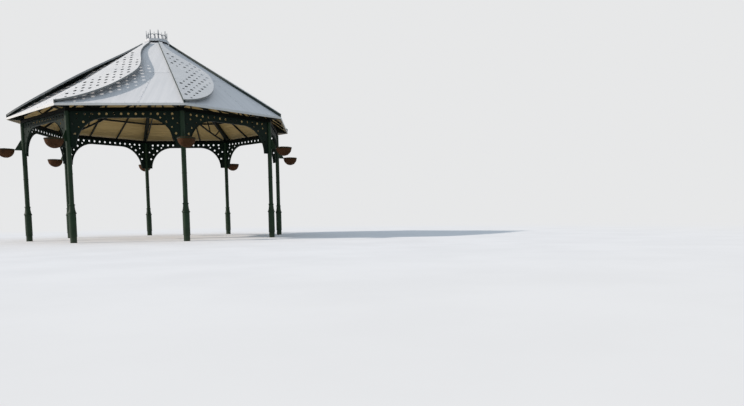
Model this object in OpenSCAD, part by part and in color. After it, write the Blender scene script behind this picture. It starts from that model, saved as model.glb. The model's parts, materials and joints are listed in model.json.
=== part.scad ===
// Octagonal park bandstand. Eight slender moulded posts carry perforated arched friezes, a ring
// beam and a pyramid roof of flat sheets. A raised perforated wing runs up every hip, and a small
// crested ventilator closes the top. Millimetres, +Z up. The origin is on the ground under the
// crown, and the front bay faces -Y.

/* [Plan] */
// Radius of the circle through the post centres
post_ring_r = 3500; // [3200:10:4000]

/* [Posts] */
// Diameter of the plain foot
foot_d = 152; // [130:1:165]
// Height of the plain foot
foot_h = 150; // [80:5:250]
// Diameter of the ring over the foot
foot_ring_d = 178; // [170:1:200]
// Height of the ring over the foot
foot_ring_h = 26; // [16:1:40]
// Diameter of the lower shaft
lower_d = 168.3; // [150:0.1:176]
// Height of the top of the lower shaft
lower_top_z = 690; // [500:10:900]
// Diameter of the wide ring on the lower shaft
wide_ring_d = 196; // [180:1:220]
// Height of the wide ring
wide_ring_h = 50; // [30:1:70]
// Height of the hollow moulding over the wide ring
bell_h = 160; // [100:5:220]
// Diameter at the top of the hollow moulding
bell_top_d = 128; // [120:1:140]
// Diameter of the small ring over the hollow moulding
neck_ring_d = 152; // [142:1:168]
// Height of the small ring
neck_ring_h = 30; // [18:1:44]
// Diameter of the upper shaft
upper_d = 114.3; // [90:0.1:118]
// Height of the middle of the thin band on the upper shaft
band_z = 1650; // [1200:10:2000]
// Diameter of the thin band
band_d = 130; // [122:1:150]
// Height of the thin band
band_h = 22; // [12:1:40]

/* [Friezes] */
// Height of the foot of each frieze
frieze_foot_z = 2280; // [2150:10:2300]
// Height of the flat underside of the arch
arch_top_z = 2970; // [2960:5:2980]
// Radius of the round shoulders of the arch
shoulder_r = 690; // [640:5:700]
// Width of the frieze leg beside each post
leg_w = 122; // [100:1:160]
// Thickness of the frieze plate
frieze_t = 8; // [6:1:12]
// Width of the flange round the arch, across the plate
flange_w = 46; // [30:1:70]
// Thickness of the flange round the arch
flange_t = 6; // [4:1:10]
// Diameter of the large holes
frieze_hole_d = 58; // [40:1:66]
// Diameter of the small holes
frieze_small_d = 44; // [30:1:56]
// Distance between the holes in the straight row
frieze_pitch = 170; // [150:1:220]
// Height of the straight row above the arch
frieze_row_up = 88; // [80:1:90]
// Distance of the first arc of holes outside a shoulder
arc_out = 85; // [75:1:95]
// Angle of the lowest hole of the first arc
arc_first = 24; // [20:1:28]
// Angle between the holes of the first arc
arc_step = 13; // [12:1:14]
// Distance of the second arc of holes outside a shoulder
outer_arc_out = 240; // [220:5:245]
// Angle of the lowest hole of the second arc
outer_first = 36; // [35:1:38]
// Angle between the holes of the second arc
outer_step = 10; // [9:1:11]

/* [Ring beam] */
// Height of the underside of the ring beam
beam_z = 3125; // [3110:5:3130]
// Height of the ring beam
beam_h = 80; // [70:1:90]
// Width of the ring beam
beam_w = 90; // [70:1:110]

/* [Roof] */
// Distance of the eaves outside the post line
eaves_out = 337; // [250:1:420]
// Height of the roof sheet at the eaves
eaves_z = 3250; // [3240:5:3300]
// Slope of each roof facet in degrees
pitch = 34.7; // [32:0.1:37]
// Corner radius of the opening at the top of the roof
crown_r = 300; // [270:5:360]
// Thickness of the roof sheet and its battens
sheet_t = 20; // [14:1:28]
// Thickness of the ceiling boards
board_t = 22; // [16:1:28]
// Height of the trim along the eaves
trim_h = 54; // [44:1:70]
// Thickness of the trim along the eaves
trim_t = 6; // [4:1:12]

/* [Hip wings] */
// Height of the wing over the hip line at the eaves
wing_lift_h = 80; // [50:1:110]
// Height of the wing over the hip line at its top end
wing_top_lift_h = 61; // [36:1:80]
// Width of the upstand under the straight edge of the wing
upstand_w = 36; // [28:1:60]
// Angle between the wing and the roof facet under it
wing_tilt = 7.3; // [6:0.1:11]
// Greatest width of the wing
wing_w = 997; // [800:1:1050]
// Distance of the widest place from the eaves, along the hip
wing_belly_len = 1760; // [1500:10:1900]
// How late the wing narrows from the belly to the neck
wing_fall = 1; // [1:0.05:1.3]
// Length of the neck at the top end of the wing
wing_neck_len = 125; // [20:5:200]
// Width of the neck
wing_neck_w = 80; // [50:5:120]
// Distance of the top end of the wing from the crown drum, in plan
wing_end_gap = 70; // [50:5:300]
// Distance of the middle of the plain field without holes from the eaves, along the hip
field_mid_len = 1800; // [1500:10:2100]
// Half length of the plain field
field_len = 550; // [300:10:700]
// Width of the plain field
field_w = 380; // [250:10:450]
// Least plate left between a hole and the edge of the wing
hole_edge = 18; // [15:1:40]
// Thickness of the wing plate
wing_t = 5; // [3:1:8]
// Depth of the lip along the curved edge
lip_h = 40; // [30:1:42]
// Thickness of the lip
lip_t = 5; // [4:1:8]
// Diameter of the large wing holes
wing_hole_d = 82; // [60:1:90]
// Diameter of the small wing holes
wing_small_d = 60; // [46:1:70]
// Distance between columns of wing holes, along the hip
wing_hole_ds = 175; // [165:1:220]
// Distance between the holes of a column
wing_hole_dw = 195; // [185:1:240]

/* [Roof framing] */
// Width of a hip rafter
rafter_w = 84; // [50:1:95]
// Depth of a hip rafter
rafter_h = 120; // [90:1:150]
// Width of a common rafter
batten_w = 34; // [25:1:50]
// Depth of a common rafter
batten_h = 46; // [30:1:60]
// Distance of each common rafter from the middle of its bay
batten_y = 440; // [350:5:560]
// Least distance of the rafter tails inside the eaves
tail_in = 60; // [50:5:100]
// Least height of a hip rafter over the beam at its tail
tail_h = 20; // [18:1:30]
// Distance of the purlins inside the post line
purlin_in = 520; // [400:5:650]
// Width of a purlin
purlin_w = 45; // [36:1:80]
// Depth of a purlin
purlin_h = 50; // [40:1:80]
// Slope of the foot of a tie in degrees
tie_foot_slope = 10.4; // [9:0.1:12]
// Slope of the straight upper part of a tie in degrees
tie_slope = 19.2; // [18:0.1:20.5]
// Distance from the ring beam over which a tie bends, in plan
tie_bend_len = 1450; // [1200:10:1600]
// Depth of a tie
tie_h = 50; // [36:1:60]
// Width of a tie and of its struts
tie_w = 28; // [20:1:40]
// Distance of the foot of each outer strut inside the post line
outer_foot_in = 620; // [600:10:700]
// Distance of the head of each outer strut inside the post line
outer_head_in = 240; // [240:10:350]
// Distance of the foot of each inner strut inside the post line
inner_foot_in = 900; // [800:10:1000]
// Distance of the head of each inner strut inside the post line
inner_head_in = 1300; // [1200:10:1400]
// Width of the boss where the ties meet, across its flats
boss_d = 180; // [160:5:220]
// Height of the boss
boss_h = 110; // [90:5:150]
// Diameter of the king rod over the boss
king_d = 40; // [30:1:60]

/* [Crown] */
// Depth of the hub below the top of the roof
hub_depth = 300; // [270:5:360]
// Height of the dark vent gap over the roof
vent_h = 40; // [25:1:60]
// Wall of the hub
hub_wall = 12; // [8:1:20]
// Distance of the crown drum outside the roof opening
drum_out = 42; // [20:1:60]
// Height of the crown drum
drum_h = 65; // [45:1:90]
// Thickness of the lid on the drum
lid_t = 8; // [6:1:12]
// Height of the corner spikes on the crown
spike_h = 255; // [180:5:300]
// Width of the tip of a spike
spike_tip = 3; // [2:1:6]
// Thickness of the crown plates
crest_t = 8; // [6:1:12]
// Width of the bars in the crown plates
crest_bar = 14; // [10:1:20]

/* [Planter brackets] */
// Distance of a planter bowl from its post centre
bowl_out = 430; // [400:5:480]
// Outer radius of a planter bowl
bowl_r = 205; // [170:5:220]
// Height of the hoop that carries a bowl
hoop_z = 2420; // [2300:10:2500]
// Diameter of the hoop bar
hoop_bar = 14; // [10:1:20]
// Depth of the bracket plate at the post
bracket_h = 260; // [180:5:320]
// Thickness of the rolled rim of a bowl
rim_t = 4; // [3:1:8]
// Width of the wall of a bowl round its filling
bowl_wall = 14; // [10:1:20]
// Depth of the filling below the rim
fill_down = 12; // [5:1:16]

/* [Hidden] */
$fn = 48;
sides = 8;
turn = 360 / sides;
half = turn / 2;
first_hip = -90 - half;
joint = 0.5;
spike_root = 0.55;
middle_spike = 0.8;
tie_steps = 8;
cut = 1;

upper_r = upper_d / 2;
post_apothem = post_ring_r * cos(half);
half_bay = post_ring_r * sin(half);
eaves_apothem = post_apothem + eaves_out;
eaves_r = eaves_apothem / cos(half);
crown_apothem = crown_r * cos(half);
rise = tan(pitch);
hip_rise = rise * cos(half);
hip_slope = atan(hip_rise);
hip_roll = asin(sin(pitch) * sin(half));
sheet_v = sheet_t / cos(pitch);
board_v = board_t / cos(pitch);
roof_top_z = eaves_z + (eaves_apothem - crown_apothem) * rise;
arch_half = half_bay - upper_r - leg_w;
shoulder_y = arch_half - shoulder_r;
shoulder_z = arch_top_z - shoulder_r;
hub_r = crown_r;
drum_r = crown_r + drum_out;
wing_end_r = drum_r + wing_end_gap;
wing_slope = atan(hip_rise - (wing_lift_h - wing_top_lift_h) / (eaves_r - wing_end_r));
wing_len = (eaves_r - wing_end_r) / cos(wing_slope);
wing_neck_s = wing_len - wing_neck_len;
eaves_lean = cos(pitch) * tan(half);
beam_inner = post_apothem - beam_w / 2;
beam_top_z = beam_z + beam_h;
beam_inner_r = beam_inner / cos(half);
vent_top_z = roof_top_z + vent_h;
tail_a = eaves_apothem - max(tail_in, (beam_top_z + tail_h - ceiling_z(eaves_apothem)) / rise);

function hip_angle(i) = first_hip + (i - 1) * turn;
function facet_angle(i) = hip_angle(i) + half;
function numbered(name, n) = [for (i = [1:n]) str(name, "_", i)];

// Height of the roof sheet, and of the ceiling, at a distance a from the axis of a facet.
function sheet_z(a) = eaves_z + (eaves_apothem - a) * rise;
function ceiling_z(a) = sheet_z(a) - sheet_v - board_v;
// The same along a hip, at a distance r from the axis.
function hip_z(r) = eaves_z + (eaves_r - r) * hip_rise;
function hip_ceiling_z(r) = hip_z(r) - sheet_v - board_v;
// How far a facet has dropped at a distance y to the side of the hip line.
function hip_drop(y) = rise * sin(half) * y;

// A sector of the plan between two hips, with half a joint left open at each side.
module sector(low, high, open = 0) {
    reach = 2 * eaves_r;
    translate([open / 2 / sin(half), 0, low])
        linear_extrude(high - low)
            polygon([[0, 0], [reach, -reach * tan(half)], [reach, reach * tan(half)]]);
}

// A profile in distance from the axis and height, drawn out sideways.
module drawn(width) {
    rotate([90, 0, 0])
        linear_extrude(width, center = true)
            children();
}

// The same profile trimmed between the two hips beside it.
module mitred(open = 0) {
    intersection() {
        drawn(3 * eaves_r) children();
        sector(0, 2 * roof_top_z, open);
    }
}

// An octagonal prism with a corner on +X.
module octagon(corner_r, low, high) {
    translate([0, 0, low])
        cylinder(r = corner_r, h = high - low, $fn = sides);
}

// A ring with a rounded edge on a post profile.
module rounded_ring(d, h, z) {
    translate([0, z])
        square([d / 2 - h / 2, h]);
    translate([d / 2 - h / 2, z + h / 2])
        circle(h / 2);
}

module post_profile() {
    bell_z = lower_top_z + wide_ring_h;
    bell_in = (lower_d - bell_top_d) / 2;
    bell_r = (bell_h * bell_h + bell_in * bell_in) / (2 * bell_in);
    neck_z = bell_z + bell_h;
    intersection() {
        union() {
            square([foot_d / 2, foot_h + foot_ring_h]);
            rounded_ring(foot_ring_d, foot_ring_h, foot_h);
            translate([0, foot_h + foot_ring_h / 2])
                square([lower_d / 2, lower_top_z - foot_h]);
            rounded_ring(wide_ring_d, wide_ring_h, lower_top_z);
            difference() {
                translate([0, bell_z - cut])
                    square([lower_d / 2, bell_h + cut]);
                translate([bell_top_d / 2 + bell_r, neck_z])
                    circle(bell_r, $fn = 192);
            }
            rounded_ring(neck_ring_d, neck_ring_h, neck_z);
            translate([0, neck_z])
                square([upper_r, beam_z - neck_z]);
            rounded_ring(band_d, band_h, band_z - band_h / 2);
        }
        square([wide_ring_d, beam_z]);
    }
}

module post(i) {
    color("#22392f")
        rotate([0, 0, hip_angle(i)])
            translate([post_ring_r, 0, 0])
                rotate_extrude()
                    post_profile();
}

// The open shape of an arch, grown inwards by the amount given.
module arch_opening(grow = 0) {
    r = shoulder_r - grow;
    low = min(frieze_foot_z, shoulder_z) - cut;
    for (side = [-1, 1])
        translate([side * shoulder_y, shoulder_z])
            circle(r, $fn = 96);
    translate([-shoulder_y, low])
        square([2 * shoulder_y, arch_top_z - grow - low]);
    translate([-shoulder_y - r, low])
        square([2 * (shoulder_y + r), shoulder_z - low]);
}

// Holes in a frieze: a straight row, then two arcs of holes round each shoulder.
module frieze_holes() {
    row_z = arch_top_z + frieze_row_up;
    row_half = floor((half_bay - upper_r - frieze_hole_d) / frieze_pitch - 0.5);
    for (k = [-row_half - 1:row_half])
        translate([(k + 0.5) * frieze_pitch, row_z])
            circle(d = frieze_hole_d, $fn = 24);
    for (side = [-1, 1]) {
        for (k = [0:3])
            shoulder_hole(side, arc_first + arc_step * k, arc_out,
                          k % 2 == 0 ? frieze_hole_d : frieze_small_d);
        for (k = [0:1])
            shoulder_hole(side, outer_first + outer_step * k, outer_arc_out, frieze_small_d);
    }
}

// A hole outside a shoulder, at an angle from the level line through the middle of that shoulder.
module shoulder_hole(side, angle, out, d) {
    translate([side * shoulder_y, shoulder_z])
        rotate(90 - side * (90 - angle))
            translate([shoulder_r + out, 0])
                circle(d = d, $fn = 24);
}

module frieze(i) {
    color("#1b3a30")
        rotate([0, 0, facet_angle(i)])
            translate([post_apothem, 0, 0])
                rotate([90, 0, 90]) {
                    linear_extrude(frieze_t, center = true)
                        difference() {
                            translate([upper_r - half_bay, frieze_foot_z])
                                square([2 * (half_bay - upper_r), beam_z - frieze_foot_z]);
                            arch_opening();
                            frieze_holes();
                        }
                    linear_extrude(flange_w, center = true)
                        intersection() {
                            difference() {
                                arch_opening();
                                arch_opening(flange_t);
                            }
                            translate([-half_bay, frieze_foot_z])
                                square([2 * half_bay, beam_z]);
                        }
                }
}

// The ring beam is one bar over each frieze, mitred over the posts.
module ring_beam() {
    color("#14251f")
        for (i = [1:sides])
            rotate([0, 0, facet_angle(i)])
                mitred(joint)
                    translate([beam_inner, beam_z])
                        square([beam_w, beam_h]);
}

module roof_panel(i) {
    color("#d7d7da")
        rotate([0, 0, facet_angle(i)])
            mitred()
                polygon([[crown_apothem, sheet_z(crown_apothem)], [eaves_apothem, sheet_z(eaves_apothem)],
                         [eaves_apothem, sheet_z(eaves_apothem) - sheet_v],
                         [crown_apothem, sheet_z(crown_apothem) - sheet_v]]);
}

module ceiling_boards() {
    color("#b9a36a")
        for (i = [1:sides])
            rotate([0, 0, facet_angle(i)])
                mitred(joint)
                    polygon([[crown_apothem, ceiling_z(crown_apothem)],
                             [eaves_apothem, ceiling_z(eaves_apothem)],
                             [eaves_apothem, ceiling_z(eaves_apothem) + board_v],
                             [crown_apothem, ceiling_z(crown_apothem) + board_v]]);
}

module eaves_trim() {
    color("#e6e6e8")
        for (i = [1:sides])
            rotate([0, 0, facet_angle(i)])
                mitred(joint)
                    translate([eaves_apothem, eaves_z + trim_t - trim_h])
                        square([trim_t, trim_h]);
}

// Puts a shape drawn in the wing plane over the hip that lies along +X.
module on_wing_plane() {
    translate([eaves_r, 0, hip_z(eaves_r) + wing_lift_h])
        rotate([0, wing_slope, 0])
            rotate([wing_tilt - hip_roll, 0, 0])
                mirror([1, 0, 0])
                    children();
}

// The upstand fits over the two facets beside the hip, and its top lies in the wing plane.
module hip_upstands() {
    color("#22392f")
        for (i = [1:sides])
            rotate([0, 0, hip_angle(i)])
                difference() {
                    drawn(upstand_w)
                        polygon([[eaves_r, hip_z(eaves_r) - upstand_w],
                                 [eaves_r, hip_z(eaves_r) + 2 * wing_lift_h],
                                 [wing_end_r, hip_z(wing_end_r) + 2 * wing_lift_h],
                                 [wing_end_r, hip_z(wing_end_r) - upstand_w]]);
                    on_wing_plane()
                        translate([-wing_len, -upstand_w, 0])
                            cube([3 * wing_len, 2 * upstand_w, 4 * wing_lift_h]);
                    for (side = [-half, half])
                        rotate([0, 0, side])
                            drawn(3 * eaves_r)
                                polygon([[0, 0], [2 * eaves_apothem, 0],
                                         [2 * eaves_apothem, sheet_z(2 * eaves_apothem)], [0, sheet_z(0)]]);
                }
}

// Width of a wing at a distance s up the hip: a quarter ellipse, then a smooth fall to the neck.
function wing_width(s) =
    s <= wing_belly_len ? wing_w * sqrt(max(0, 1 - pow(1 - s / wing_belly_len, 2))) :
    s <= wing_neck_s ? wing_neck_w + (wing_w - wing_neck_w)
        * (1 + cos(180 * pow((s - wing_belly_len) / (wing_neck_s - wing_belly_len), wing_fall))) / 2 :
    wing_neck_w;

// The quarter ellipse leans up the hip, so that it leaves the corner along the eaves.
function lean(w) = eaves_lean * w * max(0, 1 - w / wing_w);

// Points of the curved edge, closer together where the edge leaves the eaves corner.
function wing_edge() = concat(
    [for (k = [0:14]) let (s = wing_belly_len * (1 - cos(90 * k / 14)), w = wing_width(s)) [s + lean(w), w]],
    [for (k = [1:14]) let (s = wing_belly_len + (wing_neck_s - wing_belly_len) * k / 14) [s, wing_width(s)]],
    [[wing_len, wing_neck_w]]);

// The same edge moved inwards by d, square to the edge.
function moved_in(p, d) = [
    for (k = [0:len(p) - 1])
        let (
            a = p[max(k - 1, 0)],
            b = p[min(k + 1, len(p) - 1)],
            step = norm(b - a),
            across = [b[1] - a[1], a[0] - b[0]] / step)
        p[k] + d * across];

function reversed(p) = [for (k = [len(p) - 1:-1:0]) p[k]];

// A wing hole is left out where the plate is too narrow, and in the plain field over the belly.
function hole_fits(s, w, room) =
    w > room && w + room < wing_width(s - lean(w) - room) && w + room < wing_width(s + room) &&
    w + room < wing_width(s) && s + room < wing_len &&
    pow((s - field_mid_len) / field_len, 2) + pow(w / field_w, 2) > 1;

module wing_holes() {
    for (i = [0:floor(wing_len / wing_hole_ds)])
        for (j = [0:floor(wing_w / wing_hole_dw)]) {
            s = (i + 1) * wing_hole_ds;
            w = (j + (i % 2 == 0 ? 1 : 0.5)) * wing_hole_dw;
            if (hole_fits(s, w, wing_hole_d / 2 + hole_edge))
                translate([s, w])
                    circle(d = (i + 2 * j) % 3 == 0 ? wing_small_d : wing_hole_d, $fn = 24);
        }
}

// A wing in its own plane: x runs up the hip, y across the facet, and z up from the roof.
module wing_plate() {
    edge = wing_edge();
    linear_extrude(wing_t)
        difference() {
            polygon(concat([[0, -upstand_w / 2]], edge, [[wing_len, -upstand_w / 2]]));
            wing_holes();
        }
    translate([0, 0, wing_t - lip_h])
        linear_extrude(lip_h)
            polygon(concat(edge, reversed(moved_in(edge, lip_t))));
}

module hip_wing(i) {
    color("#dcdcdf")
        rotate([0, 0, hip_angle(i)])
            on_wing_plane()
                wing_plate();
}

// A hip rafter stands on the corner of the ring beam with a level foot, and its tail ends behind
// the eaves. The common rafters hang under the ceiling for their whole length.
module hip_rafters() {
    low = rafter_h / cos(hip_slope);
    drop = hip_drop(rafter_w / 2);
    tail_r = tail_a / cos(half);
    color("#1d2a25")
        for (i = [1:sides])
            rotate([0, 0, hip_angle(i)])
                difference() {
                    drawn(rafter_w)
                        polygon([[0, hip_ceiling_z(0) - drop], [tail_r, hip_ceiling_z(tail_r) - drop],
                                 [tail_r, beam_top_z], [beam_inner_r, beam_top_z],
                                 [beam_inner_r, hip_ceiling_z(beam_inner_r) - drop - low],
                                 [0, hip_ceiling_z(0) - drop - low]]);
                    octagon(hub_r, 0, 2 * roof_top_z);
                }
}

module common_rafters() {
    low = batten_h / cos(pitch);
    top_a = (batten_y + batten_w / 2) / tan(half) + rafter_w / 2 / sin(half) + joint;
    color("#2a2c22")
        for (i = [1:sides])
            rotate([0, 0, facet_angle(i)])
                for (side = [-1, 1])
                    translate([0, side * batten_y, 0])
                        drawn(batten_w)
                            polygon([[top_a, ceiling_z(top_a)], [tail_a, ceiling_z(tail_a)],
                                     [tail_a, ceiling_z(tail_a) - low], [top_a, ceiling_z(top_a) - low]]);
}

// Purlins hang under the common rafters, from hip rafter to hip rafter.
module purlins() {
    a = post_apothem - purlin_in;
    z = ceiling_z(a + purlin_w / 2) - batten_h / cos(pitch);
    color("#1d2a25")
        for (i = [1:sides])
            rotate([0, 0, facet_angle(i)])
                intersection() {
                    drawn(3 * eaves_r)
                        translate([a - purlin_w / 2, z - purlin_h])
                            square([purlin_w, purlin_h]);
                    sector(0, 2 * roof_top_z, rafter_w);
                }
}

// Middle height of a tie at a distance r from the axis: a bend from the foot, then a straight line.
function tie_z(r) =
    let (x = beam_inner_r - r, bent = min(x, tie_bend_len))
        beam_z + tie_h + bent * tan(tie_foot_slope) + (x - bent) * tan(tie_slope)
            + bent * bent / 2 / tie_bend_len * (tan(tie_slope) - tan(tie_foot_slope));

// A strut from the tie up to the ceiling line, between two distances from the axis.
module strut(foot_r, head_r) {
    foot = [foot_r, tie_z(foot_r)];
    head = [head_r, hip_ceiling_z(head_r)];
    across = [foot[1] - head[1], head[0] - foot[0]] * tie_w / 2 / norm(head - foot);
    polygon([foot - across, head - across, head + across, foot + across]);
}

// One tie with its two struts, drawn in distance from the axis and height.
module tie_profile() {
    inner = boss_d / 2;
    low = rafter_h / cos(hip_slope) + hip_drop(rafter_w / 2);
    bend_r = beam_inner_r - tie_bend_len;
    line = concat([inner], [for (k = [0:tie_steps]) bend_r + (post_ring_r - bend_r) * k / tie_steps]);
    intersection() {
        union() {
            polygon(concat([for (r = line) [r, tie_z(r) - tie_h / 2]],
                           [for (r = reversed(line)) [r, tie_z(r) + tie_h / 2]]));
            strut(post_ring_r - outer_foot_in, post_ring_r - outer_head_in);
            strut(post_ring_r - inner_foot_in, post_ring_r - inner_head_in);
        }
        polygon([[inner, 0], [post_ring_r, 0], [post_ring_r, hip_ceiling_z(post_ring_r) - low],
                 [inner, hip_ceiling_z(inner) - low]]);
    }
}

// The ties run from the corners of the ring beam to an octagonal boss under the hub, and a round
// rod hangs the boss from the hub.
module tie_frame() {
    mid = tie_z(boss_d / 2);
    color("#18231f") {
        for (i = [1:sides])
            rotate([0, 0, hip_angle(i)])
                intersection() {
                    drawn(tie_w) tie_profile();
                    octagon(beam_inner_r, 0, 2 * roof_top_z);
                }
        octagon(boss_d / 2 / cos(half) - joint, mid - boss_h / 2, mid + boss_h / 2);
        translate([0, 0, mid])
            cylinder(d = king_d, h = roof_top_z - hub_depth - mid);
    }
}

// The hub is an octagonal pan: its wall takes the rafters and its floor hangs the king rod.
module crown_hub() {
    color("#10151a")
        rotate([0, 0, half])
            difference() {
                octagon(hub_r, roof_top_z - hub_depth, vent_top_z);
                octagon(hub_r - hub_wall / cos(half), roof_top_z - hub_depth + hub_wall, vent_top_z + cut);
            }
}

module crown_drum() {
    color("#c9ccd0")
        rotate([0, 0, half])
            difference() {
                octagon(drum_r, vent_top_z, vent_top_z + drum_h);
                octagon(hub_r - hub_wall / cos(half), vent_top_z - cut, vent_top_z + drum_h - lid_t);
            }
}

// A bar that ends in a spike, standing on its foot at the height 0.
module spike(high) {
    polygon([[-crest_bar / 2, 0], [crest_bar / 2, 0], [crest_bar / 2, high * spike_root],
             [spike_tip / 2, high], [-spike_tip / 2, high], [-crest_bar / 2, high * spike_root]]);
}

// One side of the crown: two small pointed-top bays with a spike between them and one at each end.
module crest_side(width) {
    spring_z = spike_h / 3;
    arch_out = width / 4 + crest_bar / 4;
    translate([-width / 2, 0])
        square([width, crest_bar]);
    for (side = [-1, 1])
        translate([side * width / 4, spring_z])
            intersection() {
                difference() {
                    circle(arch_out, $fn = 32);
                    circle(arch_out - crest_bar, $fn = 32);
                }
                translate([-width / 4, 0])
                    square([width / 2, arch_out + cut]);
            }
    spike(spike_h * middle_spike);
    for (side = [-1, 1])
        translate([side * (width - crest_bar) / 2, 0])
            spike(spike_h);
}

// The crown stands on the drum as eight open plates.
module crown_cresting() {
    apothem = crown_apothem - crest_t;
    width = 2 * (apothem - crest_t) * tan(half) - joint;
    color("#9aa3a8")
        for (i = [1:sides])
            rotate([0, 0, facet_angle(i)])
                translate([apothem - crest_t, 0, vent_top_z + drum_h])
                    rotate([90, 0, 90])
                        linear_extrude(crest_t)
                            crest_side(width);
}

// A bracket plate at the post, an arm and a round hoop that holds the bowl.
module planter_brackets() {
    arm_end = post_ring_r + bowl_out - bowl_r - hoop_bar / 2;
    color("#1b3a30")
        for (i = [1:sides])
            rotate([0, 0, hip_angle(i)]) {
                translate([post_ring_r + bowl_out, 0, hoop_z])
                    rotate_extrude()
                        translate([bowl_r + hoop_bar / 2, 0])
                            circle(d = hoop_bar, $fn = 24);
                drawn(hoop_bar / 2)
                    polygon([[post_ring_r + upper_r, hoop_z - hoop_bar / 2], [arm_end, hoop_z - hoop_bar / 2],
                             [arm_end, hoop_z + hoop_bar / 2],
                             [post_ring_r + upper_r + hoop_bar, hoop_z + bracket_h],
                             [post_ring_r + upper_r, hoop_z + bracket_h]]);
            }
}

// A round bowl, filled to just under its rolled rim, resting on the hoop by that rim.
module planter_bowls() {
    rim_z = hoop_bar / 2 + rim_t;
    color("#5b4632")
        for (i = [1:sides])
            rotate([0, 0, hip_angle(i)])
                translate([post_ring_r + bowl_out, 0, hoop_z])
                    rotate_extrude()
                        difference() {
                            union() {
                                intersection() {
                                    circle(bowl_r - joint, $fn = 96);
                                    translate([0, -bowl_r])
                                        square([bowl_r, bowl_r]);
                                }
                                square([bowl_r - joint, rim_z]);
                                translate([0, hoop_bar / 2])
                                    square([bowl_r + hoop_bar, rim_t]);
                            }
                            translate([0, rim_z - fill_down])
                                square([bowl_r - bowl_wall, fill_down + cut]);
                        }
}

for (i = [1:sides]) {
    post(i);
    frieze(i);
    roof_panel(i);
    hip_wing(i);
}
ring_beam();
ceiling_boards();
eaves_trim();
hip_upstands();
hip_rafters();
common_rafters();
purlins();
tie_frame();
crown_hub();
crown_drum();
crown_cresting();
planter_brackets();
planter_bowls();
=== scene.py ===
# %% [markdown]
# # An open park bandstand
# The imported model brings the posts, friezes, roof, wings and crown at their real size. This lesson
# adds what a builder would add last: sheet joints, grooved boards, coir baskets, fixings and
# paint. Every length is in metres, +Z is up, and the front bay faces -Y.

# %% Load the frame
import json
import math

import bmesh
import bpy
from mathutils import Matrix, Vector

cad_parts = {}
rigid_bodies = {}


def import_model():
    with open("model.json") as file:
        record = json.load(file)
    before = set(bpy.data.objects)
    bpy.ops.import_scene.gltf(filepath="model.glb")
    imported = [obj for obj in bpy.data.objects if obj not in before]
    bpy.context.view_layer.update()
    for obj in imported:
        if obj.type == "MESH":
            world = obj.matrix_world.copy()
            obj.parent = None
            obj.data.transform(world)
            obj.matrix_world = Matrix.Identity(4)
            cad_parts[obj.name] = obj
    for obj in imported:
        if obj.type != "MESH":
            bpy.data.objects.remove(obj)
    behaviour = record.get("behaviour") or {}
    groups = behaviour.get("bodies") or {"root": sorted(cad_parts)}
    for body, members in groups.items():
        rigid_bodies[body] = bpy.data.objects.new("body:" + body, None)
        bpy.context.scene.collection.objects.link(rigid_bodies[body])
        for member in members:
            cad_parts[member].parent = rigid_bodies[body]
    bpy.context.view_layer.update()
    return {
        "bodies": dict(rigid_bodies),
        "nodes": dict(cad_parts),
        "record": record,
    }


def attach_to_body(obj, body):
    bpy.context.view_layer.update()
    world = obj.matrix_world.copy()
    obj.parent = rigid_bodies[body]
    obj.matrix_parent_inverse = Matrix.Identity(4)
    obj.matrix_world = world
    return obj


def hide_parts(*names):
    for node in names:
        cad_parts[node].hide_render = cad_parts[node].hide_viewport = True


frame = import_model()
BODY = list(frame["bodies"])[0]
print("body", BODY, "nodes", len(frame["nodes"]))

# %% [markdown]
# ## The set-out
# The plan is a regular octagon. A few lengths of the set-out fix every sloping face, so each added
# piece can be modelled flat, in front of us, and then laid on the roof by one turn and one move.
# Modelling on the slope itself would make every step a sum in space.

# %% Set-out
SIDES = 8
TURN = 2 * math.pi / SIDES
HALF = TURN / 2
POST_RING = 3.5
PITCH = math.radians(34.7)
RISE = math.tan(PITCH)
OVERHANG = 0.337
EAVES = POST_RING * math.cos(HALF) + OVERHANG
EAVES_Z = 3.25
CROWN_R = 0.300
CROWN = CROWN_R * math.cos(HALF)


def slope_at(out):
    """Distance up the slope from the eaves to a distance out from the axis."""
    return (EAVES - out) / math.cos(PITCH)


def half_width(up):
    """Half the width of a facet at a distance up its slope."""
    return (EAVES - up * math.cos(PITCH)) * math.tan(HALF)


top_of_roof = EAVES_Z + (EAVES - CROWN) * RISE
print("slope length", round(slope_at(CROWN), 3), "top of the roof", round(top_of_roof, 3))

# %% [markdown]
# ## The camera
# The picture was taken from low down, about 19 m away and a little to the right. The lens is
# shifted upwards, which moves the view over the bandstand without tipping the camera, so that the
# posts lean no more than in the picture. The shift is small enough that the whole object stays in
# frame from all sides.

# %% Camera
lens = bpy.data.cameras.new("camera")
lens.lens = 29.8693
lens.sensor_width = 36.0
lens.shift_y = 0.08737
lens.clip_end = 400.0
camera = bpy.data.objects.new("camera", lens)
camera.location = (4.71882, -18.60676, 0.52589)
camera.rotation_euler = [math.radians(v) for v in (85.26054, 0.82310, -4.30155)]
bpy.context.scene.collection.objects.link(camera)
bpy.context.scene.camera = camera
bpy.context.scene.view_settings.view_transform = "Standard"
print("camera at", [round(v, 2) for v in camera.location])

# %% [markdown]
# ## Shader sums in Python
# A finish is easier to read as a sum than as a picture of nodes. One small class wraps a socket, so
# that + - * / and ** add Math nodes, and one method makes any other node.


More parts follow.
